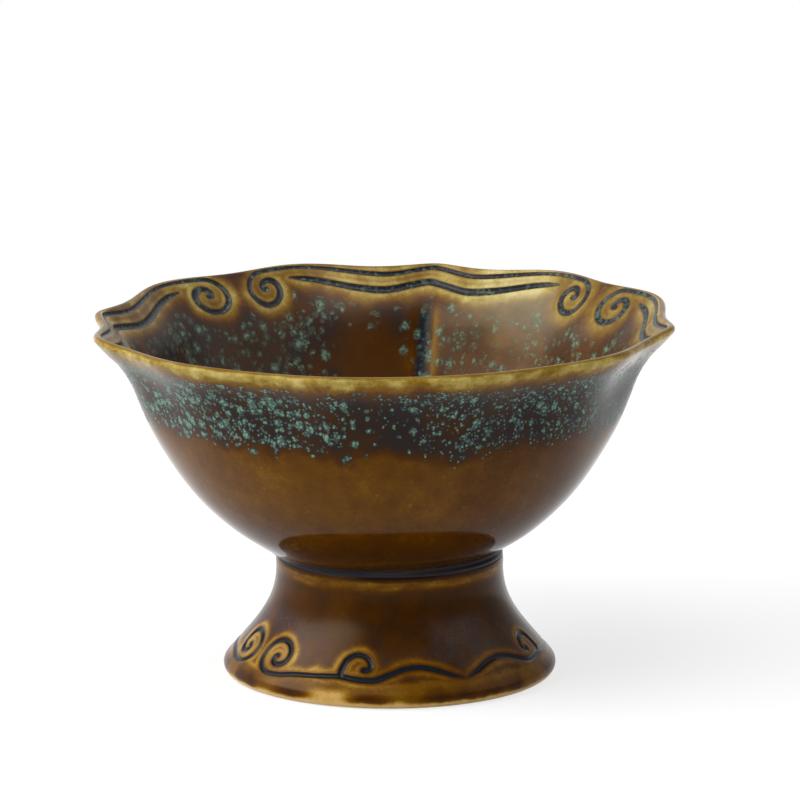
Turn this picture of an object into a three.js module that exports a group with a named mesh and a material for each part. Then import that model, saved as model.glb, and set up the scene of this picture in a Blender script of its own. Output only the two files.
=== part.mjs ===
// A glazed stoneware footed bowl: a scalloped bowl with a flared lip, luted with slip onto a hollow flared foot.
// Millimetres, +Z up. The origin lies on the table under the middle of the rim, and the rim's four points lie on the
// X and Y axes.
import * as THREE from "three";

// The rim: four lobes, each running from one point of the rim to the next
const rimRadius = 79.5; // to the outside of the lip, on average round it
const rimHeight = 98.9; // the crest above the table, on average round it
const lipThickness = 2.4; // across its rounded edge
const lipFlare = 10.0; // how far the lip spreads beyond the throat below it
const lipDepth = 17.3; // from the crest down to the throat
const lobes = 4;
const pointReach = 1.0; // how far a point stands out past the average
const flankDip = 1.6; // how far the flank beside a point draws in
const shoulderReach = 2.5; // how far the shoulder before a notch stands out
const notchReach = 0.4; // how far the notch midway between two points stands out
const flankPlace = 0.27; // where the flank draws in most, as a share of the way from a point to a notch
const shoulderPlace = 0.67; // where the shoulder stands out most, likewise
const liftShare = 0.2; // how far the crest rises for each millimetre that it stands out
const lobeDrop = 36; // how far below the crest the lobes have faded into the round wall
const slumpSlope = 0.0069; // the rim's fall towards -X from firing, as a slope

// The bowl's body
const wallThickness = 4.2;
const floorThickness = 6.0;
const floorTurnHeight = 5.0; // how far above the floor the wall starts to turn into it
const creaseDepth = 0.9; // the crease down the inside below each point
const creaseWidth = 3.0; // its half width, round the wall
const creaseTop = 11; // how far below the crest of the lip the crease starts
const creaseFade = 5; // over how much height it starts
const seatHeight = 35.0; // the bowl's flat underside above the table
const seatMargin = 0.6; // how far the underside reaches past the foot's neck

// The foot, and the slip that joins it
const footRadius = 45.9;
const footOffset = 1.65; // how far off the bowl's centre line the foot was luted on, along +X
const footWall = 5.0;
const neckRadius = 31.0;
const neckBead = 0.5; // how far the slip squeezed out round the neck stands proud
const neckHeight = 4.0; // the straight part of the neck, beads and all
const toeRound = 2.6; // the foot's rounded outer edge
const ringWidth = 3.0; // the flat ring that the foot stands on
const slipThickness = 1.2;
const slipRecess = 0.7; // how far inside the neck the slip's outer edge lies

// Slopes of the walls, in degrees from level
const bodySlope = 32; // the body where it leaves the seat
const throatSlope = 68; // the wall at the throat
const lipSlope = 50; // the lip at its edge
const toeSlope = 49; // the foot where it meets its rounded edge

// How finely the round surfaces are cut
const stepsAround = 96;
const wallSteps = 10;
const lipSteps = 5;
const edgeSteps = 4;
const floorSteps = 3;
const footSteps = 10;

const quarterTurn = 90;
const handleShare = 0.37; // of a curve's chord, the length of the handles that shape it
const level = (degrees) => new THREE.Vector2(1, 0).rotateAround(new THREE.Vector2(), THREE.MathUtils.degToRad(degrees));

// A curve from one point to another that leaves and arrives at the given slopes
function sweep(start, startSlope, end, endSlope, steps) {
  const handle = handleShare * start.distanceTo(end);
  const leave = start.clone().addScaledVector(level(startSlope), handle);
  const arrive = end.clone().addScaledVector(level(endSlope), -handle);
  return new THREE.CubicBezierCurve(start, leave, arrive, end).getPoints(steps);
}

// Points round part of a circle, between two angles from level
function arc(centre, radius, startAngle, endAngle, steps) {
  const points = [];
  for (let i = 0; i <= steps; i++) {
    const angle = startAngle + ((endAngle - startAngle) * i) / steps;
    points.push(centre.clone().addScaledVector(level(angle), radius));
  }
  return points;
}

// A wall's other face, at a thickness that may change along it
function otherFace(wall, thicknessAt) {
  return wall.map((point, i) => {
    const before = wall[Math.max(i - 1, 0)];
    const after = wall[Math.min(i + 1, wall.length - 1)];
    const along = after.clone().sub(before).normalize();
    const inwards = new THREE.Vector2(-along.y, along.x);
    return point.clone().addScaledVector(inwards, thicknessAt(i / (wall.length - 1)));
  });
}

// A value that eases from one place to the next, level at both
const ease = (from, to, share) => from + ((to - from) * (1 - Math.cos(Math.PI * share))) / 2;

// The angle from the nearest point of the rim, and the same as a share of the angle from a point to a notch
const halfLobe = Math.PI / lobes;

function angleFromPoint(angle) {
  const lobe = 2 * halfLobe;
  return Math.abs(angle - lobe * Math.round(angle / lobe));
}

function lobeReach(angle) {
  const share = angleFromPoint(angle) / halfLobe;
  if (share < flankPlace) {
    const fall = Math.sin((Math.PI / 2) * (share / flankPlace));
    return pointReach - (flankDip + pointReach) * fall;
  }
  if (share < shoulderPlace) {
    return ease(-flankDip, shoulderReach, (share - flankPlace) / (shoulderPlace - flankPlace));
  }
  return ease(shoulderReach, notchReach, (share - shoulderPlace) / (1 - shoulderPlace));
}

function bowlGeometry() {
  const seat = new THREE.Vector2(neckRadius + seatMargin, seatHeight);
  const throat = new THREE.Vector2(rimRadius - lipFlare, rimHeight - lipDepth);
  const edgeRadius = lipThickness / 2;
  const edgeCentre = new THREE.Vector2(rimRadius - edgeRadius, rimHeight - edgeRadius);
  const edge = arc(edgeCentre, edgeRadius, lipSlope - quarterTurn, lipSlope + quarterTurn, edgeSteps);

  const outerBody = sweep(seat, bodySlope, throat, throatSlope, wallSteps);
  const outerLip = sweep(throat, throatSlope, edge[0], lipSlope, lipSteps);
  const innerLip = otherFace(outerLip, (share) => ease(wallThickness, lipThickness, share)).slice(1, -1);
  const floorHeight = seatHeight + floorThickness;
  const innerBody = otherFace(outerBody, () => wallThickness).filter((p) => p.y > floorHeight + floorTurnHeight);

  const wallFoot = innerBody[0];
  const wallRun = innerBody[1].clone().sub(wallFoot);
  const turnRadius = wallFoot.x - (wallRun.x / wallRun.y) * (wallFoot.y - floorHeight);
  const turn = new THREE.Vector2(turnRadius, floorHeight);
  const floorEdge = new THREE.Vector2(2 * turnRadius - wallFoot.x, floorHeight);
  const innerFloor = new THREE.QuadraticBezierCurve(wallFoot, turn, floorEdge).getPoints(floorSteps).slice(1);

  const outer = [...outerBody, ...outerLip.slice(1, -1), ...edge];
  const inner = [...innerLip.reverse(), ...innerBody.reverse(), ...innerFloor];
  const profile = [new THREE.Vector2(0, seatHeight), ...outer, ...inner, new THREE.Vector2(0, floorHeight)];

  const geometry = new THREE.LatheGeometry(profile, stepsAround);
  geometry.rotateX(Math.PI / 2);
  const position = geometry.getAttribute("position");
  for (let i = 0; i < position.count; i++) {
    const row = i % profile.length;
    const { x: radius, y: height } = profile[row];
    const angle = (2 * Math.PI * Math.floor(i / profile.length)) / stepsAround;
    const nearRim = THREE.MathUtils.smoothstep(height, rimHeight - lobeDrop, rimHeight);
    const reach = nearRim * lobeReach(angle);
    let moved = radius + reach;
    if (row > outer.length) {
      const aside = (angleFromPoint(angle) * radius) / creaseWidth;
      const start = rimHeight - creaseTop;
      const above = THREE.MathUtils.smoothstep(height, floorHeight, floorHeight + lobeDrop / 2);
      const below = 1 - THREE.MathUtils.smoothstep(height, start - creaseFade, start);
      moved += creaseDepth * above * below * Math.exp(-(aside ** 2));
    }
    const x = moved * Math.sin(angle);
    const y = -moved * Math.cos(angle);
    const slump = slumpSlope * THREE.MathUtils.smoothstep(height, seatHeight, rimHeight) * x;
    position.setXYZ(i, x, y, height + liftShare * reach + slump);
  }
  return geometry;
}

function footGeometry() {
  const top = seatHeight - slipThickness;
  const neck = new THREE.Vector2(neckRadius, top);
  const bead = new THREE.Vector2(neckRadius + neckBead, top - neckHeight / 2);
  const cove = new THREE.Vector2(neckRadius + neckBead / 2, top - neckHeight);
  const toeCentre = new THREE.Vector2(footRadius - toeRound, toeRound);
  const toe = arc(toeCentre, toeRound, quarterTurn - toeSlope, -quarterTurn, edgeSteps);
  const outside = sweep(cove, -quarterTurn, toe[0], -toeSlope, footSteps);

  const inside = otherFace(outside, () => -footWall).filter((p) => p.y > toeRound);
  const neckInside = new THREE.Vector2(neckRadius - footWall, top);
  const ring = new THREE.Vector2(toeCentre.x - ringWidth, 0);
  const profile = [neck, bead, ...outside.slice(0, -1), ...toe, ring, ...inside.reverse(), neckInside, neck.clone()];
  const geometry = new THREE.LatheGeometry(profile.reverse(), stepsAround);
  geometry.rotateX(Math.PI / 2);
  return geometry;
}

function slipGeometry() {
  const outerRadius = neckRadius - slipRecess;
  const innerRadius = neckRadius - footWall;
  const profile = [
    new THREE.Vector2(innerRadius, 0),
    new THREE.Vector2(outerRadius, 0),
    new THREE.Vector2(outerRadius, slipThickness),
    new THREE.Vector2(innerRadius, slipThickness),
    new THREE.Vector2(innerRadius, 0),
  ];
  const geometry = new THREE.LatheGeometry(profile, stepsAround);
  geometry.rotateX(Math.PI / 2);
  return geometry;
}

function piece(name, geometry, color, roughness) {
  const mesh = new THREE.Mesh(geometry, new THREE.MeshStandardMaterial({ color, roughness, metalness: 0 }));
  mesh.name = name;
  return mesh;
}

const bowl = piece("bowl", bowlGeometry(), 0x6b4420, 0.18);
const foot = piece("pedestal_foot", footGeometry(), 0x5c3b1c, 0.2);
foot.position.x = footOffset;
const slip = piece("slip_joint", slipGeometry(), 0xb09a78, 0.9);
slip.position.set(footOffset, 0, seatHeight - slipThickness);

const footedBowl = new THREE.Group();
footedBowl.add(bowl, foot, slip);

export default footedBowl;
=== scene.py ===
import math

import bmesh
import bpy
import numpy as np
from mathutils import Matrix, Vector


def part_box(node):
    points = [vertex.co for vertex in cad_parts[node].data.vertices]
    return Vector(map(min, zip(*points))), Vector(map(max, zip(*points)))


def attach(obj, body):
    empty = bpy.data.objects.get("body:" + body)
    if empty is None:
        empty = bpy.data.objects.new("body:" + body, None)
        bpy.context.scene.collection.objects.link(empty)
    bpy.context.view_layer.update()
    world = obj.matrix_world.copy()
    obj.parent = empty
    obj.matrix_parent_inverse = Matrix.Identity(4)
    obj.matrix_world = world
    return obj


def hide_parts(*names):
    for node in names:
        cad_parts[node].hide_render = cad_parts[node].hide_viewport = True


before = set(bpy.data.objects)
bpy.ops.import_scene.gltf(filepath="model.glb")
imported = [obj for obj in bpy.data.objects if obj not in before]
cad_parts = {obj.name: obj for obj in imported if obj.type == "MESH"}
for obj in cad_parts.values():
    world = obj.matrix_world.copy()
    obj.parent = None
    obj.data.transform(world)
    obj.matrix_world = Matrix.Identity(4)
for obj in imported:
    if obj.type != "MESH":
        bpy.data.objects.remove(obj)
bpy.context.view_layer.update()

# The stand point is a long lens two metres away, a little above the rim, turned so that the far point of the
# rim lies right of the middle. Places and sizes are in millimetres in every section, apart from the studio's.
MM = 0.001
stand_turn = math.radians(11.0)
stand_rise = math.radians(12.9)
stand_distance = 1965
looked_at_height = 50
aim_right = 4.5
aim_up = 25.5
sensor_width = 36
lens_length = 321
farthest_seen = 20000

towards_lens = Vector((
    math.sin(stand_turn) * math.cos(stand_rise),
    -math.cos(stand_turn) * math.cos(stand_rise),
    math.sin(stand_rise),
))
view_right = Vector((math.cos(stand_turn), math.sin(stand_turn), 0))
view_up = towards_lens.cross(view_right)
looked_at = Vector((0, 0, looked_at_height))
lens = bpy.data.cameras.new("long_lens")
lens.sensor_width = sensor_width
lens.lens = lens_length
lens.clip_end = farthest_seen * MM
camera = bpy.data.objects.new("long_lens", lens)
bpy.context.scene.collection.objects.link(camera)
camera.location = (looked_at + stand_distance * towards_lens) * MM
aim = (looked_at + aim_right * view_right + aim_up * view_up) * MM
camera.rotation_euler = (aim - camera.location).to_track_quat("-Z", "Y").to_euler()
bpy.context.scene.camera = camera
bpy.context.scene.view_settings.view_transform = "Standard"


# The studio is a sheet of pale paper under the bowl, white walls that fade into a dark room behind the lens,
# and soft lamps at both sides and overhead. Its sizes are in metres. The walls and most of the paper show as
# plain white, and the paper keeps the bowl's shadow.
class Value:
    """A socket of a material's nodes. A sum on it adds Math nodes, and node() adds any other node."""

    def __init__(self, tree, socket=None):
        self.tree = tree
        self.socket = socket

    def node(self, kind, settings, inputs, output=0):
        made = self.tree.nodes.new("ShaderNode" + kind)
        for name, setting in settings.items():
            if name == "stops":
                lay_stops(made.color_ramp, setting)
            else:
                setattr(made, name, setting)
        for key, value in inputs.items():
            if isinstance(value, Value):
                self.tree.links.new(value.socket, made.inputs[key])
            else:
                made.inputs[key].default_value = value
        return Value(self.tree, made.outputs[output] if made.outputs else None)

    def beside(self, name):
        """Another output of the node that this value comes from."""
        return Value(self.tree, self.socket.node.outputs[name])

    def maths(self, operation, first, second):
        return self.node("Math", {"operation": operation}, {0: first, 1: second})

    def vectors(self, operation, other, output=0):
        return self.node("VectorMath", {"operation": operation}, {0: self, 1: other}, output)

    def __add__(self, other):
        return self.maths("ADD", self, other)

    def __radd__(self, other):
        return self.maths("ADD", other, self)

    def __sub__(self, other):
        return self.maths("SUBTRACT", self, other)

    def __rsub__(self, other):
        return self.maths("SUBTRACT", other, self)

    def __mul__(self, other):
        return self.maths("MULTIPLY", self, other)

    def __rmul__(self, other):
        return self.maths("MULTIPLY", other, self)

    def __truediv__(self, other):
        return self.maths("DIVIDE", self, other)

    def least(self, other):
        return self.maths("MINIMUM", self, other)

    def most(self, other):
        return self.maths("MAXIMUM", self, other)

    def rise(self, start, end):
        """0 on start's side and 1 on end's side, with a smooth change between them."""
        return self.node("MapRange", {"interpolation_type": "SMOOTHSTEP"}, {0: self, 1: start, 2: end})

    def fall(self, start, end):
        """1 on start's side and 0 on end's side."""
        return 1 - self.rise(start, end)

    def into(self, other, share):
        """This value where share is 0, and the other where it is 1."""
        return self + share * (other - self)

    def blend(self, none, full):
        """The colour none where this value is 0, and full where it is 1, by a Mix node's colour sockets."""
        return self.node("Mix", {"data_type": "RGBA"}, {0: self, 6: none, 7: full}, 2)


def lay_stops(ramp, stops):
    while len(ramp.elements) < len(stops):
        ramp.elements.new(1)
    for element, (place, colour) in zip(ramp.elements, stops):
        element.position = place
        element.color = colour


def paint(red, green, blue):
    """A colour as it looks on a screen, from 0 to 255, in the light values that nodes take."""
    def light(level):
        share = level / 255
        return share / 12.92 if share <= 0.04045 else ((share + 0.055) / 1.055) ** 2.4
    return (light(red), light(green), light(blue), 1)


def fresh_nodes(holder):
    holder.use_nodes = True
    holder.node_tree.nodes.clear()
    return Value(holder.node_tree)


def rays(start):
    """1 for what the lens sees by itself, and 1 for what it sees in gloss or through glass."""
    lens_ray = start.node("LightPath", {}, {}, "Is Camera Ray")
    return lens_ray, lens_ray.beside("Is Glossy Ray").most(lens_ray.beside("Is Transmission Ray"))


white = (1, 1, 1, 1)
paper_radius = 3
paper_corners = 96
paper_colour = paint(244, 244, 244)
paper_lift = 0.7
paper_shine = 0.8
paper_fade = (0.2, 0.8)

bpy.ops.mesh.primitive_circle_add(vertices=paper_corners, radius=paper_radius, fill_type="NGON")
paper = bpy.context.object
paper.name = "paper"
pale_paper = bpy.data.materials.new("pale_paper")
start = fresh_nodes(pale_paper)
lens_ray, shine_ray = rays(start)
spot = start.node("TexCoord", {}, {}, "Object")
away = spot.node("VectorMath", {"operation": "LENGTH"}, {0: spot}, "Value").rise(*paper_fade)
lift = lens_ray.most(shine_ray * paper_shine) * (paper_lift + away * (1 - paper_lift))
lit_paper = start.node("BsdfDiffuse", {}, {"Color": paper_colour})
white_paper = start.node("Emission", {}, {"Color": white, "Strength": 1})
shown_paper = start.node("MixShader", {}, {0: lift, 1: lit_paper, 2: white_paper})
start.node("OutputMaterial", {}, {"Surface": shown_paper})
paper.data.materials.append(pale_paper)

wall_light = 0.59
room_light = 0.1
room_fade = (0.55, 0.93)
right_dimming = 0.6
right_fade = (0.1, 0.9)

room = bpy.data.worlds.new("white_walls")
bpy.context.scene.world = room
start = fresh_nodes(room)
lens_ray, shine_ray = rays(start)
direction = start.node("TexCoord", {}, {}, "Generated")
dark_room = direction.vectors("DOT_PRODUCT", tuple(towards_lens), "Value").rise(*room_fade)
plain_light = wall_light + dark_room * (room_light - wall_light)
rightward = direction.vectors("DOT_PRODUCT", tuple(view_right), "Value").rise(*right_fade)
shine_light = (1 + dark_room * (room_light - 1)) * (1 - rightward * right_dimming)
strength = plain_light.into(shine_light, shine_ray)
strength = strength.into(1, lens_ray)
backdrop = start.node("Background", {}, {"Color": white, "Strength": strength})
start.node("OutputWorld", {}, {"Surface": backdrop})


lamp_middle = (0.5, 0.5, 0)
lamp_edge = 0.5


def soft_lamp(name, turn, rise, distance, width, height, watts):
    """A soft box that faces the bowl, turned from the lens and raised by degrees, fading at its edge."""
    light = bpy.data.lights.new(name, "AREA")
    light.shape = "RECTANGLE"
    light.size = width
    light.size_y = height
    light.energy = watts
    start = fresh_nodes(light)
    place = start.node("NewGeometry", {}, {}, "Parametric")
    middle = place.vectors("SUBTRACT", lamp_middle)
    out = middle.node("SeparateXYZ", {}, {0: middle}, "X")
    across = out * out + out.beside("Y") * out.beside("Y")
    glow = across.fall(0, lamp_edge * lamp_edge)
    shine = start.node("Emission", {}, {"Color": white, "Strength": glow})
    start.node("OutputLight", {}, {"Surface": shine})
    lamp = bpy.data.objects.new(name, light)
    bpy.context.scene.collection.objects.link(lamp)
    side = stand_turn + math.radians(turn)
    up = math.radians(rise)
    way = Vector((math.sin(side) * math.cos(up), -math.cos(side) * math.cos(up), math.sin(up)))
    lamp.location = looked_at * MM + distance * way
    lamp.rotation_euler = (-way).to_track_quat("-Z", "Y").to_euler()


soft_lamp("left_soft_box", turn=-72, rise=40, distance=1.0, width=1.7, height=0.8, watts=35)
soft_lamp("right_soft_box", turn=84, rise=34, distance=1.0, width=1.2, height=0.8, watts=3.5)
soft_lamp("top_soft_box", turn=-20, rise=74, distance=1.2, width=0.9, height=0.9, watts=13)


# The foot is a flared hollow pedestal, thrown in stoneware, with scrolls and waves cut into its slope. Its
# brown glaze breaks to amber on every edge, pools blue-black in the cuts, and stops at the bare ring that it
# stands on.
foot_low, foot_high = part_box("pedestal_foot")
foot_offset = (foot_low.x + foot_high.x) / 2 / MM
foot_radius = (foot_high.x - foot_low.x) / 2 / MM
foot_top = foot_high.z / MM
foot_wall = 5.0
neck_radius = 31.0
neck_height = 4.0
neck_rounding = 0.25
neck_rounding_start = 0.75
neck_bead = 0.5
bead_swell = 0.3
bead_lean = 1.2
bead_end = 0.8
toe_round = 2.6
toe_slope = 49
ring_width = 3.0
handle_share = 0.37

foot_columns = 720
neck_points = 25
toe_gap, slope_gap, neck_gap, hollow_gap = 0.45, 0.36, 0.4, 1.6
foot_turn = math.radians(-140)
foot_unevenness = 0.06
foot_unevenness_start = (2, 8)
carving_start = (0.5, 3)
carving_radius = 38
foot_cut_depth = 0.55
cut_side = -0.1
cut_shoulder = 1.0
cut_lip = 0.05
cut_lip_place = 0.5
cut_lip_width = 0.6
no_cut_near = 50.0
least_run = 1e-9

# How hands leave a pressed or thrown wall uneven: waves round the wall, by how often they come round, how
# high they are, where they start, and the height over which they turn, and then the low rings of the wheel.
hand_waves = ((2, 1.0, 0.7, 31), (3, 0.7, 2.1, -19), (7, 0.35, 0, 9))
wheel_ring, wheel_ring_climb, wheel_ring_sway = 0.3, 2.6, 0.5


def level(degrees):
    return np.array([math.cos(math.radians(degrees)), math.sin(math.radians(degrees))])


def sweep(start, start_slope, end, end_slope, steps=60):
    """A curve from one point to another that leaves and arrives at the given slopes."""
    start = np.array(start)
    end = np.array(end)
    handle = handle_share * np.linalg.norm(end - start)
    leave = start + handle * level(start_slope)
    arrive = end - handle * level(end_slope)
    share = np.linspace(0, 1, steps + 1)[:, None]
    rest = 1 - share
    return rest**3 * start + 3 * rest**2 * share * leave + 3 * rest * share**2 * arrive + share**3 * end


def bend(start, corner, end, steps=16):
    """A curve from one point to another that rounds off the corner between them."""
    share = np.linspace(0, 1, steps + 1)[:, None]
    return (1 - share) ** 2 * start + 2 * (1 - share) * share * corner + share**2 * end


def arc(centre, radius, first, last, steps=24):
    angles = np.linspace(first, last, steps + 1)
    return np.array([np.array(centre) + radius * level(angle) for angle in angles])


def flowing(points, steps=12):
    """A smooth line through a few points, with the cut's half width as each point's third number."""
    points = np.array(points, float)
    ends = np.vstack([2 * points[0] - points[1], points, 2 * points[-1] - points[-2]])
    share = np.linspace(0, 1, steps, endpoint=False)[:, None]
    line = []
    for before, here, there, after in zip(ends, ends[1:], ends[2:], ends[3:]):
        curve = 2 * before - 5 * here + 4 * there - after
        twist = 3 * here - before - 3 * there + after
        line.append(0.5 * (2 * here + (there - before) * share + curve * share**2 + twist * share**3))
    return np.vstack([*line, points[-1:]])


def curl(centre, radius, first, turn, widths, steps=72):
    """A scroll from its outer end inwards, with half widths at its start, middle and end."""
    share = np.linspace(0, 1, steps + 1)
    reach = radius * (1 - share**2)
    angle = np.radians(first + turn * share)
    half_width = np.interp(share, [0, 0.5, 1], widths)
    return np.stack([centre[0] + reach * np.cos(angle), centre[1] + reach * np.sin(angle), half_width], 1)


def beside_cuts(across, along, cuts):
    """How far each place lies outside the edge of the nearest cut, negative inside it."""
    nearest = np.full(across.shape, no_cut_near)
    for cut in cuts:
        for (x, y, half), (x2, y2, half2) in zip(cut, cut[1:]):
            run = (x2 - x) ** 2 + (y2 - y) ** 2
            share = ((across - x) * (x2 - x) + (along - y) * (y2 - y)) / max(run, least_run)
            share = np.clip(share, 0, 1)
            gap = np.hypot(across - x - share * (x2 - x), along - y - share * (y2 - y))
            nearest = np.minimum(nearest, gap - half - share * (half2 - half))
    return nearest


def smooth(value, start, end):
    share = np.clip((value - start) / (end - start), 0, 1)
    return share * share * (3 - 2 * share)


def hump(value, place, width):
    """1 at a place, easing to 0 a few widths from it."""
    return np.exp(-((value - place) / width) ** 2)


def cut_relief(beside, depth):
    """How far a cut sinks the clay, with a low lip pushed up on each side of it."""
    pushed_up = cut_lip * hump(beside, cut_lip_place, cut_lip_width)
    return pushed_up - depth * smooth(-beside, cut_side, cut_shoulder)


def run_of(line):
    """How far along the line each of its points lies."""
    return np.concatenate([[0], np.cumsum(np.hypot(*np.diff(line, axis=0).T))])


def spaced(line, gap):
    """The same line with its points about gap apart."""
    along = run_of(line)
    places = np.linspace(0, along[-1], max(2, round(along[-1] / gap) + 1))
    return np.stack([np.interp(places, along, line[:, 0]), np.interp(places, along, line[:, 1])], 1)


def faces_out(line):
    """The way out of the clay at each point of an outline that runs with the clay on its left."""
    along = np.gradient(line, axis=0)
    along /= np.linalg.norm(along, axis=1)[:, None]
    return np.stack([along[:, 1], -along[:, 0]], 1)


def other_face(wall, thickness):
    return wall - faces_out(wall) * np.reshape(thickness, (-1, 1))


def around(radius, angle, height):
    """A ring of points at a radius and a height, which may each change round it."""
    return np.stack([radius * np.cos(angle), radius * np.sin(angle), np.broadcast_to(height, angle.shape)], 1)


def columns(count):
    return np.linspace(0, 2 * math.pi, count, endpoint=False)


def wobble(angle, height):
    """How far an uneven wall stands out, in parts of its piece's unevenness."""
    out = wheel_ring * np.sin(height / wheel_ring_climb + wheel_ring_sway * np.sin(2 * angle))
    for times, size, begin, climb in hand_waves:
        out = out + size * np.sin(times * angle + begin + height / climb)
    return out


def ring_faces(first, first_count, second, second_count):
    """Faces between two rings of points. One may have twice as many points as the other, or only one."""
    a = [first + i for i in range(first_count)]
    b = [second + i for i in range(second_count)]
    if first_count == 1:
        return [(a[0], b[(i + 1) % second_count], b[i]) for i in range(second_count)]
    if second_count == 1:
        return [(b[0], a[i], a[(i + 1) % first_count]) for i in range(first_count)]
    if first_count == second_count:
        return [(a[i], a[i - 1], b[i - 1], b[i]) for i in range(first_count)]
    if first_count > second_count:
        return [(a[2 * i], a[2 * i - 1], a[2 * i - 2], b[i - 1], b[i]) for i in range(second_count)]
    return [(a[i], a[i - 1], b[2 * i - 2], b[2 * i - 1], b[2 * i]) for i in range(first_count)]


def thrown_piece(name, rings, closed, measures, finish):
    """A piece from rings of points, with each of the measures kept at its points for the glaze to read."""
    counts = [len(ring) for ring in rings]
    firsts = np.concatenate([[0], np.cumsum(counts)])
    faces = []
    for i in range(len(rings) - (0 if closed else 1)):
        j = (i + 1) % len(rings)
        faces += ring_faces(int(firsts[i]), counts[i], int(firsts[j]), counts[j])
    mesh = bpy.data.meshes.new(name)
    mesh.from_pydata((np.vstack(rings) * MM).tolist(), [], faces)
    for measure, values in measures.items():
        kept = mesh.attributes.new(measure, "FLOAT", "POINT")
        kept.data.foreach_set("value", np.concatenate(values).astype(np.float32))
    shaped = bmesh.new()
    shaped.from_mesh(mesh)
    bmesh.ops.recalc_face_normals(shaped, faces=shaped.faces)
    shaped.to_mesh(mesh)
    shaped.free()
    mesh.polygons.foreach_set("use_smooth", [True] * len(mesh.polygons))
    mesh.update()
    mesh.materials.append(finish)
    piece = bpy.data.objects.new(name, mesh)
    bpy.context.scene.collection.objects.link(piece)
    return piece


# The quarter of the foot's carving from the middle of a pair of scrolls to where two waves meet: millimetres
# round the foot, millimetres up its slope, and half the width of the cut.
scroll_middle = (7.6, 14.0)
scroll_radius = 5.6
foot_scroll = curl(scroll_middle, scroll_radius, -92, -470, (0.75, 0.9, 0.75))
base_line = flowing([(7.4, 8.4, 0.75), (11, 8.7, 0.8), (15.5, 9.7, 0.85), (21, 10.3, 0.8), (28, 11, 0.85)])
hook = flowing([
    (28.0, 10.9, 0.95), (28.1, 13.4, 0.95), (29.2, 16.3, 0.9), (31.7, 17.7, 0.85),
    (34.4, 16.8, 0.8), (35.5, 14.7, 0.8), (34.9, 13.3, 0.85), (33.8, 13.2, 0.95),
])
wave = flowing([
    (28, 11, 0.9), (32, 10.3, 1.0), (36.5, 10.2, 1.0), (40.5, 12, 0.95), (44.5, 13.7, 0.9),
    (48.5, 14, 0.9), (52.5, 12.9, 0.85), (56, 11.2, 0.75), (59.2, 9.9, 0.3),
])
foot_cuts = [foot_scroll, base_line, hook, wave]


def foot_rings():
    """The foot's rings from its toe up the outside and down the hollow, and what its glaze reads there."""
    toe_middle = np.array([foot_radius - toe_round, toe_round])
    toe = arc(toe_middle, toe_round, -90, 90 - toe_slope)
    cove = (neck_radius + neck_bead / 2, foot_top - neck_height)
    slope = sweep(cove, -90, toe[-1], -toe_slope)[::-1]
    share = np.linspace(0, 1, neck_points)
    bead = neck_bead / 2 * (1 - share / 2) + neck_bead * bead_swell * np.sin(math.pi * share**bead_lean)
    rounding = neck_rounding * smooth(share, neck_rounding_start, 1) ** 2
    neck_reach = neck_radius + bead * (1 - smooth(share, bead_end, 1)) - rounding
    neck = np.stack([neck_reach, cove[1] + neck_height * share], 1)
    outside = np.vstack([spaced(toe, toe_gap)[:-1], spaced(slope, slope_gap), spaced(neck, neck_gap)[1:]])
    inner_slope = other_face(slope, foot_wall)
    inner_slope = inner_slope[inner_slope[:, 1] > toe_round]
    ring_edge = (toe_middle[0] - ring_width, 0)
    hollow = np.vstack([(neck_radius - foot_wall, foot_top), inner_slope[::-1], ring_edge])
    hollow = spaced(hollow, hollow_gap)

    rings, heights, besides = [], [], []
    angle = columns(foot_columns)
    folded = np.abs((angle - foot_turn + math.pi / 2) % math.pi - math.pi / 2)
    for (radius, height), (out_r, out_z), rise in zip(outside, faces_out(outside), run_of(outside)):
        beside = beside_cuts(folded * carving_radius, np.full(angle.shape, rise), foot_cuts)
        uneven = foot_unevenness * smooth(rise, *foot_unevenness_start) * wobble(angle, rise)
        relief = cut_relief(beside, foot_cut_depth) + uneven
        relief = relief * smooth(rise, *carving_start)
        relief = relief * (1 - smooth(height, foot_top - neck_height, foot_top))
        rings.append(around(radius + relief * out_r, angle, height + relief * out_z))
        heights.append(np.full(angle.shape, rise))
        besides.append(beside)
    coarse = angle[::2]
    for radius, height in hollow:
        rings.append(around(radius, coarse, height))
        heights.append(np.full(coarse.shape, -height))
        besides.append(np.full(coarse.shape, no_cut_near))
    for ring in rings:
        ring[:, 0] += foot_offset
    return rings, {"up_slope": heights, "beside_cut": besides}


def measured(start, name):
    return start.node("Attribute", {"attribute_name": name}, {}, "Fac")


def spot_in_mm(start):
    place = start.node("TexCoord", {}, {}, "Object")
    return place.node("VectorMath", {"operation": "SCALE"}, {0: place, "Scale": 1 / MM})


def mottle(spot, size, squeeze=(1, 1, 1), detail=3.0):
    """Soft patches about size millimetres across, from 0 to 1, finer along the axes with a large squeeze."""
    squeezed = spot.vectors("MULTIPLY", squeeze)
    return spot.node("TexNoise", {}, {"Vector": squeezed, "Scale": 1 / size, "Detail": detail}, 0)


def unevenness_of(mottles):
    """A function that adds up the mottles' ups and downs about their middle, each by its given amount."""
    def uneven(**amounts):
        return sum((mottles[name] - 0.5) * amount for name, amount in amounts.items())
    return uneven


def near(spot, place, reach, ragged=0):
    """1 within reach's first distance of a place, 0 past its second, with an edge that may be ragged."""
    away = spot.vectors("DISTANCE", place, "Value")
    return (away + ragged).fall(*reach)


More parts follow.
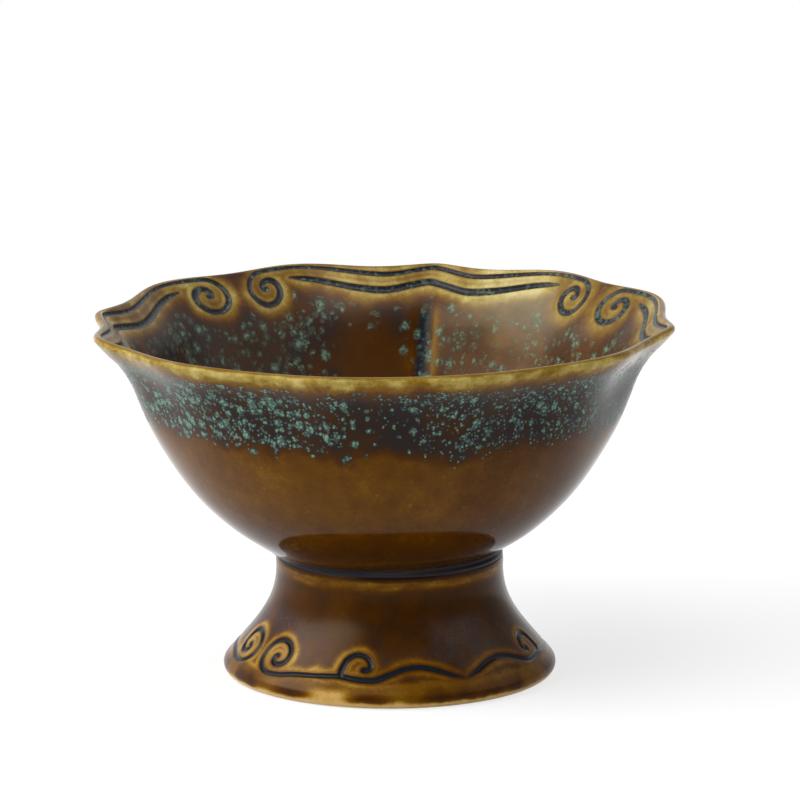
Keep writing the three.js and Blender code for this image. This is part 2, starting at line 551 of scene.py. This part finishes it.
crystal_stops = [
    (0.00, paint(34, 44, 56)),
    (0.30, paint(50, 68, 68)),
    (0.65, paint(74, 98, 84)),
    (1.00, paint(102, 138, 114)),
]
dark_stops = [
    (0.58, paint(62, 33, 1)),
    (0.70, paint(50, 28, 8)),
    (0.85, paint(34, 26, 24)),
    (1.00, paint(20, 23, 31)),
]
foot_stops = [
    (0.00, paint(190, 158, 100)),
    (0.10, paint(172, 138, 76)),
    (0.22, paint(138, 104, 32)),
    (0.34, paint(100, 66, 5)),
    (0.46, paint(78, 44, 1)),
] + dark_stops
bare_clay = paint(206, 184, 148)
pooled_thickness = 0.86
glaze_mottle_sizes = {"flecked": 1.3, "cloudy": 5}
glaze_mottle_amounts = {"flecked": 0.08, "cloudy": 0.14}
haze_cover = 0.7
peel_size, peel_height = 1.6, 0.035
crystal_sink = 0.012
bump_strength = 0.35
crystal_dulling, haze_dulling, clay_dulling, dullest = 0.25, 0.12, 0.6, 0.8
shine_level = 0.1
shine_tint = (1, 0.75, 0.5, 1)
milk_roughness = 0.5


def glaze(start, spot, thickness, stops, haze_and_sheen, haze_and_sheen_colour, satin, crystals=None, milk=0, clay=None):
    """A brown glaze: its colour from its thickness, haze with any painted sheen and crystals on top, and clay
    where it is bare.
    """
    uneven = unevenness_of({name: mottle(spot, size) for name, size in glaze_mottle_sizes.items()})
    shade = thickness + uneven(**glaze_mottle_amounts)
    body = start.node("ValToRGB", {"stops": stops}, {"Fac": shade}, "Color")
    colour = (haze_and_sheen * haze_cover).blend(body, haze_and_sheen_colour)
    rough = satin + haze_and_sheen * haze_dulling
    peel = mottle(spot, peel_size, detail=1.0) * peel_height
    if crystals:
        glow, cover = crystals
        crystal = start.node("ValToRGB", {"stops": crystal_stops}, {"Fac": glow}, "Color")
        colour = cover.blend(colour, crystal)
        rough = rough + glow * crystal_dulling
        peel = peel - glow * crystal_sink
    if clay:
        colour = clay.blend(colour, bare_clay)
        rough = rough + clay * clay_dulling
    bumps = start.node("Bump", {}, {"Strength": bump_strength, "Distance": MM, "Height": peel}, "Normal")
    surface = start.node("BsdfPrincipled", {}, {
        "Base Color": colour,
        "Roughness": rough.least(dullest),
        "Normal": bumps,
        "Specular IOR Level": shine_level,
        "Specular Tint": shine_tint,
        "Coat Weight": milk,
        "Coat Roughness": milk_roughness,
    }, "BSDF")
    start.node("OutputMaterial", {}, {"Surface": surface})


# How thick the foot's glaze lies, from 0, amber, over 0.6, brown, to 1, blue-black, and where each layer
# starts and ends: beside the cuts, up the slope from the ring, or below the neck's top.
upright, level_rings = (1, 1, 0.25), (1, 1, 4)
slope_thickness, slope_right_gain = 0.62, 0.07
right_start = (-12, 22)
halo_thickness, halo_heart_gain, halo_right_gain = 0.22, 0.12, 0.15
halo_heart, halo_edge = (0.1, 1.0), (0.6, 3.2)
toe_thickness = 0.37
toe_top, toe_fade = (8.5, 11.5), (7.5, 11)
run_thickness = 0.74
run_size, run_squeeze, run_detail, run_streaks = 13, (1, 1, 0.3), 1.5, (0.42, 0.56)
run_start, run_end = (1.6, 3.6), (3.5, 9)
run_reach = (0, 8.5)
dark_runs = ((-18.2, -41.3, 2), (4.4, -45.8, 1), (23.5, -39.9, 2), (29.5, -36.2, 2), (35.8, -30.6, 3))
front_of_toe, front_reach = (8, -46, 3), (32, 42)
pale_run, pale_run_reach = (-6.3, -45.2, 3), (-1, 12)
pale_run_thinning = 0.3
pale_run_start, pale_run_end = (1.0, 2.5), (4.5, 8)
bead_thickness = 0.36
bead_start, bead_stop = (-5.8, -3.0), (-2.2, -1.2)
joint_pool = (-1.4, -0.8)
cut_edge = (-0.3, 0.25)
toe_edge_thickness = 0.02
toe_edge_end = (2.5, 4.3)
bare_ring_end = (0.7, 1.2)
# A bluish bloom on the slope that is partly a painted reflection of the side soft boxes, kept off where the
# slope faces the lens.
blue_size, blue_patches = 14, (0.38, 0.64)
blue_start, blue_end = (9, 14), (24, 29)
lens_facing_slope, lens_facing_slope_reach = (4, -38, 20), (8, 18)
bloom_size, bloom_grains = 0.4, (0.35, 0.7)
bloom_least, bloom_gain = 0.2, 0.5
bloom_and_sheen_colour = paint(60, 62, 72)
cut_crystals, cut_crystal_cover = 0.1, 0.12
foot_satin = 0.2

foot_glaze = bpy.data.materials.new("foot_glaze_over_carving")
start = fresh_nodes(foot_glaze)
spot = spot_in_mm(start)
up = measured(start, "up_slope")
beside = measured(start, "beside_cut")
height = start.node("SeparateXYZ", {}, {0: spot}, "Z")
rightwards = height.beside("X").rise(*right_start)
below_top = height - foot_top
uneven = unevenness_of({
    "broad": mottle(spot, 11),
    "streak": mottle(spot, 5, upright),
    "fine": mottle(spot, 2.2),
    "grain": mottle(spot, 0.5, detail=2.0),
    "rings": mottle(spot, 7, level_rings),
})

thickness = slope_thickness + rightwards * slope_right_gain + uneven(broad=0.4, streak=0.25)
near_cut = (beside + uneven(streak=2)).fall(*halo_edge)
near_toe = (up + uneven(streak=3)).fall(*toe_top)
halo = halo_thickness + beside.fall(*halo_heart) * halo_heart_gain + uneven(broad=0.3)
halo = halo + rightwards * halo_right_gain
halo = halo.most(toe_thickness * (up + uneven(broad=4)).fall(*toe_fade) + uneven(streak=0.12))
thickness = thickness.into(halo, near_cut.most(near_toe))

runs = mottle(spot, run_size, run_squeeze, run_detail).rise(*run_streaks)
runs = runs * (1 - near(spot, front_of_toe, front_reach, uneven(streak=3)))
for place in dark_runs:
    runs = runs.most(near(spot, place, run_reach, uneven(streak=3)))
runs = runs * up.rise(*run_start) * (up + uneven(broad=5)).fall(*run_end)
pale = near(spot, pale_run, pale_run_reach, uneven(streak=3))
pale = pale * up.rise(*pale_run_start) * up.fall(*pale_run_end)
thickness = (thickness - pale * pale_run_thinning).into(run_thickness, runs)

bead = (below_top + uneven(broad=4, streak=2)).rise(*bead_start)
bead = bead * (below_top + uneven(fine=0.8)).fall(*bead_stop)
thickness = thickness.into(bead_thickness + uneven(rings=0.4), bead)
thickness = thickness.most(below_top.rise(*joint_pool) * pooled_thickness)
cut = beside.fall(*cut_edge)
thickness = thickness.most(cut)
toe_edge = (up + uneven(streak=1.6)).fall(*toe_edge_end)
thickness = thickness.into(toe_edge_thickness, toe_edge) + uneven(grain=0.12)

# Bluish bloom: partly blue bloom in the glaze and partly a painted reflection of the side soft boxes, with
# none painted where the slope faces the lens and the dark room.
bloom_and_sheen_patches = mottle(spot, blue_size).rise(*blue_patches) * up.rise(*blue_start) * up.fall(*blue_end)
bloom_and_sheen_patches = bloom_and_sheen_patches * (1 - near_cut) * (1 - near(spot, lens_facing_slope, lens_facing_slope_reach, uneven(streak=3)))
bloom = bloom_and_sheen_patches * (bloom_least + mottle(spot, bloom_size, detail=1.0).rise(*bloom_grains) * bloom_gain)
clay = (up + uneven(streak=0.5)).fall(*bare_ring_end)
crystals = (cut * cut_crystals, cut * cut_crystal_cover)
glaze(start, spot, thickness, foot_stops, bloom, bloom_and_sheen_colour, foot_satin, crystals=crystals, clay=clay)

rings, foot_measures = foot_rings()
foot = thrown_piece("carved_foot", rings, True, foot_measures, foot_glaze)
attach(foot, "root")
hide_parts("pedestal_foot")


# The slip is a ring of wet clay that luted the bowl onto the foot. Glaze ran into the joint and pooled there,
# so the outside shows blue-black, and only the side that faces the foot's hollow shows clay.
slip_low, slip_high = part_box("slip_joint")
slip_radius = (slip_high.x - slip_low.x) / 2 / MM
slip_bottom = slip_low.z / MM
slip_top = slip_high.z / MM
slip_inner_radius = neck_radius - foot_wall
slip_columns = 360
slip_bulge = 0.4
slip_unevenness = 0.15
pool_depth = 1
pool_low = (neck_radius - 0.1, slip_bottom - 0.8)
pool_corner = (neck_radius + 0.35, slip_top - 0.25)
pool_high = (neck_radius + 1.7, slip_top + 0.75)
bare_slip_edge = (slip_inner_radius + 2.4, slip_inner_radius + 3)
slip_thickness, slip_gain = 0.88, 0.1
slip_cloud_size, slip_bloom_size = 3, 2.2
slip_bloom, slip_bloom_gain = 0.15, 0.2
slip_bloom_colour = paint(62, 66, 74)
slip_satin = 0.25
level_only = (1, 1, 0)


def slip_rings():
    """The slip's rings, from its hollow side under the joint, out over the pooled glaze and back above it."""
    pool = bend(*np.array([pool_low, pool_corner, pool_high]))
    outline = [(slip_inner_radius, slip_bottom), (slip_radius - pool_depth, slip_bottom), *pool]
    outline += [(slip_radius - pool_depth, slip_top), (slip_inner_radius, slip_top)]
    outline += [(slip_inner_radius - slip_bulge, (slip_bottom + slip_top) / 2)]
    angle = columns(slip_columns)
    rings = []
    for radius, height in outline:
        if radius < slip_inner_radius:
            radius = radius + slip_unevenness * wobble(angle, height)
        ring = around(radius, angle, height)
        ring[:, 0] += foot_offset * (1 - smooth(height, slip_bottom, slip_top))
        rings.append(ring)
    return rings


slip_finish = bpy.data.materials.new("slip_under_pooled_glaze")
start = fresh_nodes(slip_finish)
spot = spot_in_mm(start)
flat = spot.vectors("MULTIPLY", level_only)
out = flat.node("VectorMath", {"operation": "LENGTH"}, {0: flat}, "Value")
thickness = slip_thickness + mottle(spot, slip_cloud_size) * slip_gain
bloom = slip_bloom + mottle(spot, slip_bloom_size) * slip_bloom_gain
clay = out.fall(*bare_slip_edge)
glaze(start, spot, thickness, foot_stops, bloom, slip_bloom_colour, slip_satin, clay=clay)

slip = thrown_piece("luting_slip", slip_rings(), True, {}, slip_finish)
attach(slip, "root")
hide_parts("slip_joint")


# The bowl was pressed in stoneware over a mould with four lobes, and the inner lip was carved with two
# running lines that end in pairs of scrolls. Its glaze is amber at the lip, dark and full of teal crystals
# below it, and brown below those.
seat_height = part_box("bowl")[0].z / MM
seat_radius = neck_radius + 0.6
rim_radius = 79.5
rim_height = 98.9
lip_thickness = 2.4
lip_flare = 10.0
lip_depth = 17.3
wall_thickness = 4.2
floor_thickness = 6.0
floor_turn_height = 5.0
body_slope = 32
throat_slope = 68
lip_slope = 50

lobes = 4
lobe_angle = 2 * math.pi / lobes
lobe_drop = 36
point_reach = 2.2
point_rounding = 0.06
flank_reach = -1.6
shoulder_reach = 2.5
notch_reach = 0.4
flank_place = 0.27
shoulder_place = 0.67
lift_share = 0.2
slump_slope = 0.0069
point_and_notch_strays = (1.5, 3.5, 0, -0.5, 2.5, -2, 0, -3.5)
far_point = 2
far_point_lean = math.radians(0.9)
far_point_lean_end = 7

bowl_unevenness = 0.1
rim_unevenness_share = 0.3
belly, belly_height, belly_spread = 0.62, 47, 14
throat_hollow, throat_height, throat_spread = 0.95, 86, 9
throat_end = (90, 96)
above_seat_even, above_seat_belly = 6, 8
crease_start, crease_start_fade = 13.0, 2
crease_end, crease_end_fade = 8, 16
crease_depth, crease_width = 0.2, 2.0
crease_ridge, crease_ridge_place, crease_ridge_width = 0.06, 4.2, 2.2
notch_ridge, notch_ridge_width = 0.35, 4.5
notch_ridge_start, notch_ridge_end = (4, 12), (18, 34)

bowl_columns = 900
crowding = 0.28
wall_steps = 120
smoothest_gap = 0.1
body_gap, lip_gap, edge_gap, carved_gap, lower_gap, turn_gap = 1.9, 1.2, 0.32, 0.37, 1.6, 2.0
carved_depth = 19.0
under_radii = (0, 8, 16, 22, 27, 30, 31, 31.45)
floor_shares = (0.75, 0.5, 0.25, 0)

# The carving of half a lobe, from a point of the rim to a notch: millimetres round the lip, millimetres below
# its crest, and half the width of the cut.
carving_reach = 76
lip_cut_depth = 0.5
lip_cut_start = (0.2, 1.0)
half_lobe_run = carving_reach * lobe_angle / 2
lip_scroll_place = half_lobe_run - 9.8
lip_scroll = curl((lip_scroll_place, 7.2), 6.0, -90, 480, (0.75, 1.1, 0.85))
upper_line = flowing([
    (0, 1.6, 0.75), (6, 2.3, 0.8), (13, 2.9, 0.8), (22.5, 2.3, 0.75), (30, 1.8, 0.65),
    (38, 1.35, 0.6), (lip_scroll_place, 1.2, 0.75),
])
lower_line = flowing([
    (0, 6.4, 1.15), (6, 7.3, 1.2), (13, 8.2, 1.25), (21, 7.6, 1.2), (27, 6.8, 1.1), (33.5, 5.7, 1.0),
    (37.5, 5.1, 0.9), (41.5, 4.5, 0.35),
])
lip_cuts = [lip_scroll, upper_line, lower_line]


def ease(value, place, end, start_value, end_value):
    share = np.clip((value - place) / (end - place), 0, 1)
    return start_value + (end_value - start_value) * (1 - np.cos(math.pi * share)) / 2


def lobe_reach(share):
    """How far the rim stands out past the average, by the share of the way from a point to a notch."""
    rounded = np.clip(np.hypot(share, point_rounding) / flank_place, 0, 1)
    fall = point_reach + (flank_reach - point_reach) * np.sin(math.pi / 2 * rounded)
    swell = ease(share, flank_place, shoulder_place, flank_reach, shoulder_reach)
    last = ease(share, shoulder_place, 1, shoulder_reach, notch_reach)
    return np.where(share < flank_place, fall, np.where(share < shoulder_place, swell, last))


def bowl_outline():
    """The bowl's outline from under its middle, up the outside and down the inside, in even bands."""
    throat = (rim_radius - lip_flare, rim_height - lip_depth)
    edge_radius = lip_thickness / 2
    edge_middle = np.array([rim_radius - edge_radius, rim_height - edge_radius])
    edge = arc(edge_middle, edge_radius, lip_slope - 90, lip_slope + 90)
    body = sweep((seat_radius, seat_height), body_slope, throat, throat_slope, wall_steps)
    lip = sweep(throat, throat_slope, edge[0], lip_slope, wall_steps)
    share = np.linspace(0, 1, len(lip))
    inner_lip = other_face(lip, ease(share, 0, 1, wall_thickness, lip_thickness))
    inner_body = other_face(body, wall_thickness)
    floor_height = seat_height + floor_thickness
    inner_body = inner_body[inner_body[:, 1] > floor_height + floor_turn_height]
    foot_of_wall = inner_body[0]
    lean = inner_body[1] - foot_of_wall
    turn = np.array([foot_of_wall[0] - lean[0] / lean[1] * (foot_of_wall[1] - floor_height), floor_height])
    floor_edge = np.array([2 * turn[0] - foot_of_wall[0], floor_height])
    floor_turn = bend(foot_of_wall, turn, floor_edge)

    inner = spaced(np.vstack([inner_lip[::-1], inner_body[-2::-1]]), smoothest_gap)
    carved_end = int(carved_depth / smoothest_gap)
    under = np.array([(radius, seat_height) for radius in under_radii])
    wall = spaced(body, body_gap)
    above_seat = wall[:1] + smoothest_gap * (wall[1:2] - wall[:1])
    outside = np.vstack([under, wall[:1], above_seat, wall[1:-1], spaced(lip, lip_gap)[:-1]])
    fine = np.vstack([spaced(edge, edge_gap)[:-1], spaced(inner[:carved_end], carved_gap)[:-1]])
    below = np.vstack([spaced(inner[carved_end:], lower_gap)[:-1], spaced(floor_turn, turn_gap)])
    floor = np.array([(floor_edge[0] * share, floor_height) for share in floor_shares])
    return outside, fine, np.vstack([below, floor])


def turned_from_point(angle, down, inside):
    """The angle from the nearest point of the rim. The points and notches stand a little astray."""
    stray = np.radians(point_and_notch_strays)
    stray[far_point] += far_point_lean * smooth(down, 0, far_point_lean_end) * inside
    places = np.arange(len(stray)) * lobe_angle / 2 + stray
    pressed = angle - np.interp(angle, places, stray, period=2 * math.pi)
    return np.abs((pressed + lobe_angle / 2) % lobe_angle - lobe_angle / 2)


def hand_relief(angle, height, near_rim):
    """How far the uneven wall stands out: less near the rim, and not at all at the seat."""
    relief = bowl_unevenness * wobble(angle, height) * smooth(height - seat_height, 0, above_seat_even)
    return relief * (rim_unevenness_share + (1 - rim_unevenness_share) * (1 - near_rim))


def outer_relief(height):
    """How far the full belly stands out, less the hollow of the throat under the lip."""
    fullness = belly * hump(height, belly_height, belly_spread)
    fullness = fullness * smooth(height - seat_height, 0, above_seat_belly)
    under_lip = throat_hollow * hump(height, throat_height, throat_spread)
    return fullness - under_lip * (1 - smooth(height, *throat_end))


def inner_relief(down, above_seat, beside_crease, beside_notch):
    """How far the inside stands out: a little beside each crease and below each notch, less at the crease."""
    window = smooth(down, crease_start - crease_start_fade, crease_start + crease_start_fade)
    window = window * smooth(above_seat, crease_end, crease_end + crease_end_fade)
    crease = crease_ridge * hump(beside_crease, crease_ridge_place, crease_ridge_width)
    crease = crease - crease_depth * hump(beside_crease, 0, crease_width)
    swell = smooth(down, *notch_ridge_start) * (1 - smooth(down, *notch_ridge_end))
    return window * crease + notch_ridge * swell * hump(beside_notch, 0, notch_ridge_width)


def bowl_rings():
    """The bowl's rings in the order of its outline, and what its glaze reads at their points."""
    outside, fine, below = bowl_outline()
    outline = np.vstack([outside, fine, below])
    crest = int(outline[:, 1].argmax())
    below_crest = run_of(outline) - run_of(outline)[crest]
    angles = columns(bowl_columns)
    angles = angles + crowding / lobes * np.sin(lobes * angles)
    out = faces_out(outline)
    rings, crests, besides, creases = [], [], [], []
    for i, (radius, height) in enumerate(outline):
        down = below_crest[i]
        inside = i > crest
        fine_row = len(outside) <= i < len(outside) + len(fine)
        angle = angles if fine_row else angles[::2]
        if radius == 0:
            angle = angles[:1]
        from_point = turned_from_point(angle, down, inside)
        share = from_point / (lobe_angle / 2)
        near_rim = smooth(height, rim_height - lobe_drop, rim_height)
        reach = near_rim * lobe_reach(share)

        beside = np.full(angle.shape, no_cut_near)
        beside_crease = np.full(angle.shape, no_cut_near)
        relief = hand_relief(angle, height, near_rim)
        if inside:
            beside_crease = from_point * radius
            beside_notch = (lobe_angle / 2 - from_point) * radius
            relief = relief + inner_relief(down, height - seat_height, beside_crease, beside_notch)
        else:
            relief = relief + outer_relief(height)
        if fine_row and inside:
            beside = beside_cuts(share * half_lobe_run, np.full(angle.shape, down), lip_cuts)
            relief = relief + cut_relief(beside, lip_cut_depth) * smooth(down, *lip_cut_start)
        out_r, out_z = out[i]
        ring = around(radius + reach + relief * out_r, angle, height + lift_share * reach + relief * out_z)
        ring[:, 2] += slump_slope * smooth(height, seat_height, rim_height) * ring[:, 0]
        rings.append(ring)
        crests.append(np.full(angle.shape, down))
        besides.append(beside)
        creases.append(beside_crease)
    return rings, {"below_crest": crests, "beside_cut": besides, "beside_crease": creases}


flake_size, flake_edge = 0.7, (0.2, 0.65)
flake_least, flake_gain = 0.45, 0.95
cluster_least, cluster_gain, cluster_start = 0.44, 0.3, 0.06


def clusters(spot, size, density):
    """Round clusters in cells of size millimetres, from 1 at their middles to 0 at their edges."""
    distance = spot.node("TexVoronoi", {}, {"Vector": spot, "Scale": 1 / size}, "Distance")
    chances = distance.node("SeparateColor", {}, {0: distance.beside("Color")}, "Red")
    out = distance / (cluster_least + cluster_gain * chances.beside("Green"))
    return (density - chances).rise(0, cluster_start) * (1 - out * out).most(0)


def flaked(spot, cluster):
    """How bright a cluster's crystals are: small flakes that close up towards its middle."""
    distance = spot.node("TexVoronoi", {}, {"Vector": spot, "Scale": 1 / flake_size}, "Distance")
    return cluster * (flake_least + flake_gain * distance.fall(*flake_edge))


bowl_stops = [
    (0.00, paint(198, 186, 134)),
    (0.10, paint(182, 169, 114)),
    (0.22, paint(146, 128, 63)),
    (0.34, paint(108, 80, 14)),
    (0.46, paint(84, 52, 3)),
] + dark_stops

# How thick the bowl's glaze lies, as on the foot, and where each layer starts and ends: below the crest of
# the lip, beside the cuts or the crease, across the bowl from left to right, or above the table. The body is
# also painted darker low down and towards the right, as painted shade.
left_end = (-60, 10)
lip_layer, lip_end = 0.24, (1.2, 13)
band_thickness, band_left_loss, band_end = 0.83, 0.09, (24.5, 32)
body_thickness, low_body_painted_shade, right_body_painted_shade = 0.49, 0.17, 0.07
low_body_shade_end, right_body_shade_start = (40, 57), (12, 50)
crest_thickness, crest_start, crest_end = 0.36, (-0.3, 0.1), (0.7, 1.7)
seat_pool = (0.5, 1.3)
ribbon_thickness, ribbon_left_gain, ribbon_right_gain = 0.24, 0.04, 0.07
ribbon_cut_gain, ribbon_cut_edge, ribbon_cut_start = 0.06, (0.0, 0.7), (0.4, 2.4)
ribbon_right_start = (34, 48)
pale_lip, pale_lip_reach, pale_lip_thinning = (22, 68, 94), (6, 18), 0.13
deep_thickness, right_wall_thickness, clear_thickness = 0.74, 0.58, 0.6
right_wall_start, right_wall_end, right_wall_loss = (-4, 14), (50, 70), 0.6
clear_place, clear_reach = (-16, 66, 72), (8, 19)
deep_start, deep_left_lead = (0.4, 6.2), 0.9
crease_glaze_start = (crease_start - 2, crease_start + 4)
crease_pool_edge = (1.2, 2.6)
ridge_thickness, ridge_start, ridge_end = 0.38, (1.5, 3.2), (3.2, 7)
ridge_left_share, ridge_right_start = 0.35, (-3, 0)
inner_start = (-0.1, 0.3)
speck_size, speck_start, speck_density, speck_thinning = 1.2, (26, 30), 0.045, 0.1
grain_gain, grain_low_loss, grain_low_end = 0.12, 0.08, (37, 44)

bowl_glaze = bpy.data.materials.new("bowl_glaze_with_crystals")
start = fresh_nodes(bowl_glaze)
spot = spot_in_mm(start)
down = measured(start, "below_crest")
beside = measured(start, "beside_cut")
height = start.node("SeparateXYZ", {}, {0: spot}, "Z")
above_seat = height - seat_height
across = height.beside("X")
outer = 0 - down
is_inner = down.rise(*inner_start)
left_side = across.fall(*left_end)
uneven = unevenness_of({
    "broad": mottle(spot, 16),
    "drift": mottle(spot, 10, (1, 1, 0.5), 1.5),
    "ripple": mottle(spot, 9),
    "streak": mottle(spot, 6, (1, 1, 0.3)),
    "fine": mottle(spot, 2.2),
    "grain": mottle(spot, 0.5, detail=2.0),
})

lip = lip_layer + uneven(drift=0.34, streak=0.16, fine=0.2)
band = band_thickness - left_side * band_left_loss + uneven(ripple=0.5)
body = body_thickness + uneven(streak=0.12, broad=0.16)
# Painted shade: the body darkens towards the seat, under the belly, and towards its right side.
body = body + low_body_painted_shade * height.fall(*low_body_shade_end) + across.rise(*right_body_shade_start) * right_body_painted_shade
below_band = (outer + uneven(broad=16, streak=7)).rise(*band_end)
outer_layer = lip.into(band, (outer + uneven(drift=3, fine=1.6)).rise(*lip_end)).into(body, below_band)
crest_strip = outer.rise(*crest_start) * (outer + uneven(streak=1.6)).fall(*crest_end)
outer_layer = outer_layer.into(crest_thickness, crest_strip)
outer_layer = outer_layer.most(above_seat.fall(*seat_pool) * pooled_thickness)

ribbon = ribbon_thickness + left_side * ribbon_left_gain + uneven(streak=0.2, broad=0.24, fine=0.08)
ribbon = ribbon + beside.fall(*ribbon_cut_edge) * ribbon_cut_gain * down.rise(*ribbon_cut_start)
ribbon = ribbon - pale_lip_thinning * near(spot, pale_lip, pale_lip_reach, uneven(streak=8))
ribbon = ribbon + across.rise(*ribbon_right_start) * ribbon_right_gain
right_wall = across.rise(*right_wall_start) * (1 - right_wall_loss * across.rise(*right_wall_end))
clear = near(spot, clear_place, clear_reach, uneven(streak=10))
deep = deep_thickness + uneven(ripple=0.5, broad=0.3)
deep = deep.into(right_wall_thickness + uneven(ripple=0.5), right_wall).into(clear_thickness, clear)
into_deep = (beside + left_side * deep_left_lead + uneven(streak=3, broad=3)).rise(*deep_start)
inner_layer = ribbon.into(deep, into_deep)
crease = measured(start, "beside_crease") + uneven(fine=0.8)
creased = down.rise(*crease_glaze_start) * above_seat.rise(crease_end, crease_end + crease_end_fade)
ridge = crease.rise(*ridge_start) * crease.fall(*ridge_end) * creased
ridge = ridge * (ridge_left_share + (1 - ridge_left_share) * across.rise(*ridge_right_start))
crease_pool = crease.fall(*crease_pool_edge) * creased
inner_layer = inner_layer.into(ridge_thickness, ridge).most(crease_pool)
cut = beside.fall(*cut_edge)
thickness = outer_layer.into(inner_layer, is_inner).most(cut)
specks = clusters(spot, speck_size, outer.rise(*speck_start) * speck_density)
grain_amount = grain_gain - grain_low_loss * height.fall(*grain_low_end)
thickness = thickness - specks * speck_thinning + uneven(grain=1) * grain_amount

# Where the crystals stand and how large their clusters are: round ones in the band outside, and soft ones
# inside. They glow brightest at their middles. Milk is a dull sheen on top, and haze a veil in the glaze; on
# the inner wall right of the middle the haze is partly a painted sheen of lamp light.
clump_size, clump_edge = 8, (0.34, 0.6)
tuft_size, tuft_edge = 3, (0.35, 0.6)
bare_place, bare_reach, bare_loss = (13, -67, 80), (7, 24), 0.65
crowded_place, crowded_reach = (-42, -54, 70), (12, 34)
outer_crystal_start, inner_crystal_start, inner_crystal_end = (5, 8.5), (2, 6), (38, 56)
outer_least, outer_clumped, outer_tufted, outer_crowded = 0.2, 0.42, 0.17, 0.25
inner_least, inner_clumped, inner_tufted, inner_left = 0.05, 0.32, 0.22, 0.34
clear_loss, inner_right_gain = 0.9, 0.45
flowing_down = (1, 1, 0.8)
large_size, small_size, tiny_size, soft_size, soft_small_size = 2.6, 1.3, 0.8, 3.2, 2.0
large_share, large_right_loss, small_share, tiny_share = 0.9, 0.35, 0.85, 0.5
small_height, tiny_height, soft_small_height = 0.85, 0.7, 0.8
finer_start = (-5, 40)
feather_size, feather_edge, feather_least, feather_gain = 0.9, (0.3, 0.7), 0.55, 0.9
fleck_size, fleck_edge, fleck_least = 1.4, (0.44, 0.68), 0.35
core_cover = (0.1, 0.42)
soft_cover_rise, soft_cover, soft_cover_right_loss = (0.0, 1.5), 0.85, 0.2
pooled_cover, pooled_cover_gain = 0.06, 0.55
soft_glow, soft_glow_right_gain, soft_glow_least = 0.62, 0.3, 0.12
pooled_glow, pooled_glow_gain = 0.12, 0.62
milk_least, milk_lip_gain, milk_lip_end, milk_left_gain = 0.02, 0.16, (9, 30), 0.2
milk_crease_end = (3, 6)
pale_haze, pale_haze_start, pale_haze_end, pale_haze_drop = 0.88, (2, 24), (28, 50), (9, 28)
pale_haze_cut, pale_haze_size, pale_haze_least, pale_haze_gain = (0.6, 2.4), 3, 0.5, 0.6
crystal_haze = (0, 0.35)
crystal_haze_colour, pale_haze_and_sheen_colour = paint(26, 32, 46), paint(150, 138, 108)
bowl_satin, inner_satin_gain = 0.08, 0.14

clump = mottle(spot, clump_size).rise(*clump_edge)
tuft = mottle(spot, tuft_size).rise(*tuft_edge)
crowded = near(spot, crowded_place, crowded_reach)
outer_teal = outer_least + outer_clumped * clump + outer_tufted * tuft + outer_crowded * crowded
outer_teal = outer_teal * (1 - bare_loss * near(spot, bare_place, bare_reach, uneven(streak=12)))
outer_teal = outer_teal * outer.rise(*outer_crystal_start) * (1 - below_band)
inner_teal = inner_least + inner_clumped * clump + inner_tufted * tuft + inner_left * left_side
inner_teal = inner_teal * (1 - clear * clear_loss) * (1 + right_wall * inner_right_gain)
inner_teal = inner_teal * is_inner * beside.rise(*inner_crystal_start) * down.fall(*inner_crystal_end)
flowed = spot.vectors("MULTIPLY", flowing_down)
finer = across.rise(*finer_start)
large = clusters(flowed, large_size, outer_teal * (large_share - large_right_loss * finer))
small = clusters(flowed, small_size, outer_teal * small_share)
tiny = clusters(flowed, tiny_size, outer_teal * (tiny_share + (1 - tiny_share) * finer))
soft = clusters(flowed, soft_size, inner_teal)
soft = soft.most(clusters(flowed, soft_small_size, inner_teal) * soft_small_height)
round_clusters = large.most(small * small_height).most(tiny * tiny_height)
feathers = mottle(spot, feather_size, detail=1.0).rise(*feather_edge)
feathered = soft * (feather_least + feather_gain * feathers)
flecks = mottle(spot, fleck_size, detail=1.0).rise(*fleck_edge) * (fleck_least + (1 - fleck_least) * clump)
pooled = cut.most(crease_pool * is_inner)
core = flaked(flowed, round_clusters)
cover = feathered.rise(*soft_cover_rise) * (soft_cover - right_wall * soft_cover_right_loss)
cover = cover.most(core.rise(*core_cover)).most(pooled * (pooled_cover + pooled_cover_gain * flecks))
glow = core.most(feathered * (soft_glow + right_wall * soft_glow_right_gain) + soft_glow_least * is_inner)
glow = glow.most(pooled * (pooled_glow + pooled_glow_gain * flecks))

milk = milk_least + milk_lip_gain * down.fall(*milk_lip_end) + left_side * milk_left_gain
milk = is_inner * milk * (1 - creased * crease.fall(*milk_crease_end))
# A pale veil on the inner wall right of the middle: partly a paler glaze and partly a painted sheen of lamp
# light.
pale_haze_and_sheen = pale_haze * across.rise(*pale_haze_start) * across.fall(*pale_haze_end)
pale_haze_and_sheen = pale_haze_and_sheen * (down + uneven(broad=10)).fall(*pale_haze_drop) * beside.rise(*pale_haze_cut)
pale_haze_and_sheen = pale_haze_and_sheen * (pale_haze_least + mottle(spot, pale_haze_size) * pale_haze_gain)
pale_haze_and_sheen = pale_haze_and_sheen * (1 - crease_pool) * is_inner
haze_and_sheen = round_clusters.rise(*crystal_haze).most(pale_haze_and_sheen)
haze_and_sheen_colour = is_inner.blend(crystal_haze_colour, pale_haze_and_sheen_colour)
satin = bowl_satin + is_inner * inner_satin_gain
glaze(start, spot, thickness, bowl_stops, haze_and_sheen, haze_and_sheen_colour, satin, crystals=(glow, cover), milk=milk)

rings, bowl_measures = bowl_rings()
bowl = thrown_piece("scalloped_bowl", rings, False, bowl_measures, bowl_glaze)
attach(bowl, "root")
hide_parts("bowl")
